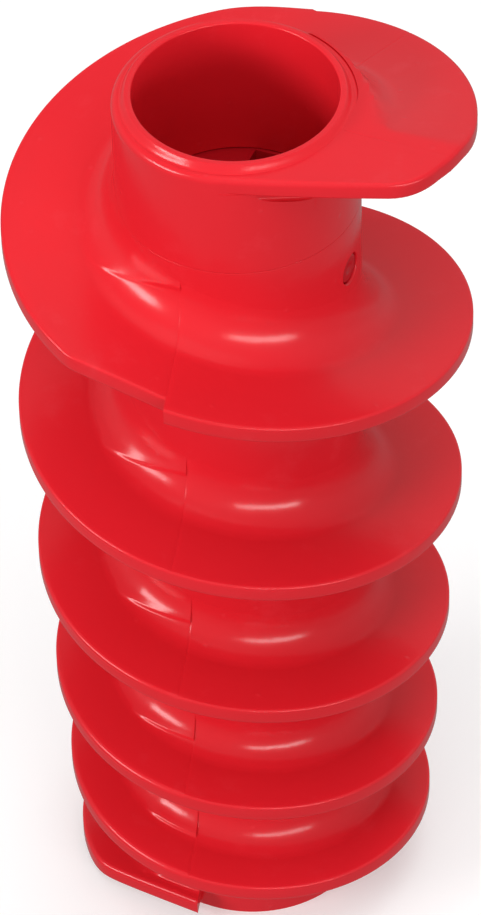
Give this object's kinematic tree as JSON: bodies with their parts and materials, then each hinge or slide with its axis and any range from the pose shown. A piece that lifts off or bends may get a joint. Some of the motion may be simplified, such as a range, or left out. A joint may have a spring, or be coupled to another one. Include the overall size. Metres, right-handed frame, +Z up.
{
  "type": "drain auger screw",
  "caption": "Left-hand moulded screw with a hollow keyed hub, its flight tapering and tightening towards the tail.",
  "frame": {"origin": "on the screw's axis, in the plane of its bottom face", "axes": "+Z up the screw's axis towards the drive collar; -Y is the front, where turn counts start"},
  "size_m": [0.0995, 0.1003, 0.225],
  "materials": {
    "red_plastic": "glossy injection-moulded plastic",
    "ring_plastic": "satin injection-moulded plastic",
    "bush_plastic": "unfilled bearing plastic"
  },
  "bodies": {
    "root": {"drive_collar": "red_plastic", "hub_tube": "red_plastic", "drive_ring": "ring_plastic", "ring_pin_front": "ring_plastic", "ring_pin_back": "ring_plastic", "tail_bush": "bush_plastic", "flight_section_1": "red_plastic", "flight_section_2": "red_plastic", "flight_section_3": "red_plastic", "flight_section_4": "red_plastic", "flight_section_5": "red_plastic", "flight_section_6": "red_plastic"}
  },
  "joints": []
}
